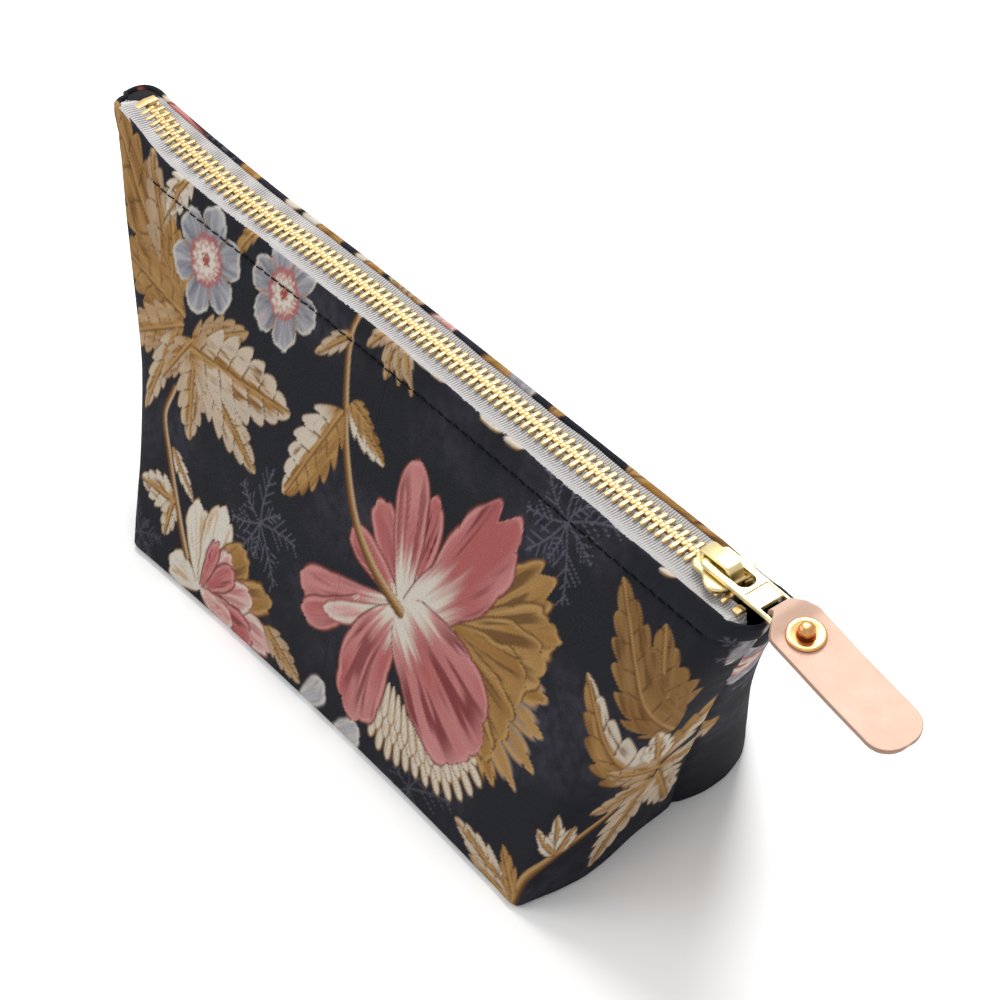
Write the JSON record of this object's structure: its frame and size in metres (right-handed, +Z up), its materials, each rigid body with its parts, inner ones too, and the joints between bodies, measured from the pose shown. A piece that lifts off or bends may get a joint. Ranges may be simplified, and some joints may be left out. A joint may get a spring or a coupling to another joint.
{
  "type": "zippered pouch",
  "caption": "Soft boxed-corner pouch in printed cotton with a brass-toothed zip along the top and a leather pull strap.",
  "frame": {"origin": "middle of the base's underside, where the pouch rests, below the zip's centre line", "axes": "+X along the zip towards its closed end, where the slider and strap are; -Y is the printed front face; +Z up"},
  "size_m": [0.2837, 0.0835, 0.0919],
  "materials": {
    "printed_cotton": "dark navy cotton with a floral print in ochre, rose, cream and grey",
    "fleece": "white needled interlining",
    "lining": "plain dark cotton",
    "zip_tape": "pale warm grey woven tape",
    "tooth_brass": "golden brass, polished edges",
    "slider_brass": "pale brass, satin",
    "spring_brass": "plain",
    "thread": "black polyester thread",
    "leather": "natural vegetable-tanned, matte with cut edges",
    "copper": null
  },
  "bodies": {
    "base": {"outer_base": "printed_cotton", "fleece_base": "fleece", "lining_base": "lining", "outer_gusset_right_front": "printed_cotton", "outer_gusset_right_back": "printed_cotton", "outer_gusset_left_front": "printed_cotton", "outer_gusset_left_back": "printed_cotton", "fleece_gusset_right": "fleece", "fleece_gusset_left": "fleece", "lining_gusset_right": "lining", "lining_gusset_left": "lining", "hem_right": "printed_cotton", "hem_left": "printed_cotton", "bottom_stop": "tooth_brass"},
    "front_wall": {"outer_front": "printed_cotton", "fleece_front": "fleece", "lining_front": "lining", "zip_tape_front": "zip_tape", "teeth_front": "tooth_brass", "top_stop_front": "tooth_brass", "topstitch_front": "thread"},
    "back_wall": {"outer_back": "printed_cotton", "fleece_back": "fleece", "lining_back": "lining", "zip_tape_back": "zip_tape", "teeth_back": "tooth_brass", "top_stop_back": "tooth_brass", "topstitch_back": "thread"},
    "slider": {"slider_body": "slider_brass", "slider_cap": "slider_brass"},
    "lock": {"lock_spring": "spring_brass"},
    "pull": {"pull_tab": "slider_brass"},
    "strap": {"leather_strap": "leather", "rivet": "copper", "rivet_burr": "copper"}
  },
  "joints": [
    {"name": "slider_travel", "type": "slide", "parent": "base", "child": "slider", "axis": [1, 0, 0], "range_m": [-0.207, 0], "deforming": ["hem_right", "hem_left"]},
    {"name": "front_wall_open", "type": "hinge", "parent": "base", "child": "front_wall", "pos_m": [0, -0.0435, 0.002], "axis": [1, 0, 0], "range_deg": [0, 12], "deforming": ["zip_tape_front", "teeth_front"]},
    {"name": "back_wall_open", "type": "hinge", "parent": "base", "child": "back_wall", "pos_m": [0, 0.04, 0.002], "axis": [-1, 0, 0], "range_deg": [0, 12], "deforming": ["zip_tape_back", "teeth_back"]},
    {"name": "pull_swing", "type": "hinge", "parent": "slider", "child": "pull", "pos_m": [0.1026, 0, 0.0897], "axis": [0, -1, 0], "range_deg": [0, 150]},
    {"name": "lock_lift", "type": "slide", "parent": "slider", "child": "lock", "axis": [0, 0, 1], "range_m": [0, 0.0008]},
    {"name": "strap_swing", "type": "hinge", "parent": "pull", "child": "strap", "pos_m": [0.12449, 0, 0.08913], "axis": [0, -1, 0], "range_deg": [-30, 55]}
  ],
  "couplings": [
    {"joint": "front_wall_open", "follows": "slider_travel", "rad_per_m": -1.01},
    {"joint": "back_wall_open", "follows": "slider_travel", "rad_per_m": -1.01},
    {"joint": "lock_lift", "follows": "pull_swing", "m_per_rad": 0.0003}
  ]
}
